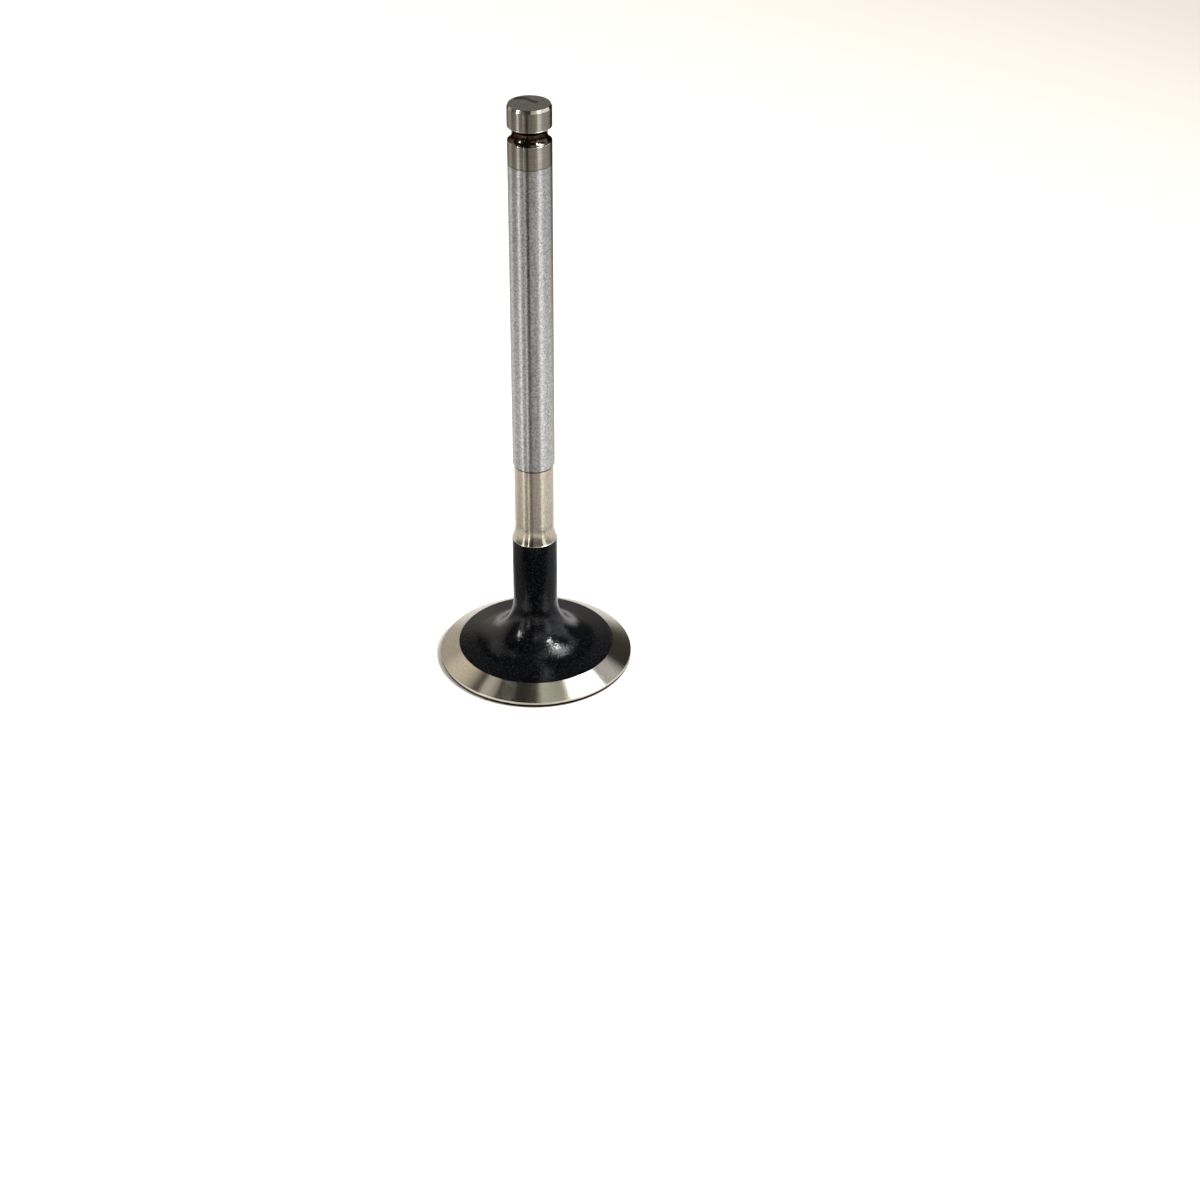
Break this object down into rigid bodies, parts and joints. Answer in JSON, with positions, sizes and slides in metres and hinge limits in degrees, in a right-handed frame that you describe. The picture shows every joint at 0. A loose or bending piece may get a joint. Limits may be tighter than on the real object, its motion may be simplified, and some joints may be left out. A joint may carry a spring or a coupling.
{
  "type": "engine valve",
  "caption": "Poppet valve with a flat disc head, a bevelled seat, a dark filleted shank, a relieved neck and a plated stem that has a keeper groove below its tip.",
  "frame": {"origin": "middle of the combustion face, on which the valve stands", "axes": "+Z along the stem's axis, from the combustion face to the tip"},
  "size_m": [0.0412, 0.0412, 0.126],
  "materials": {
    "valve_steel": "turned and ground steel, satin plated along the stem, dark oxide on the shank and the back of the head"
  },
  "bodies": {
    "root": {"valve": "valve_steel"}
  },
  "joints": []
}
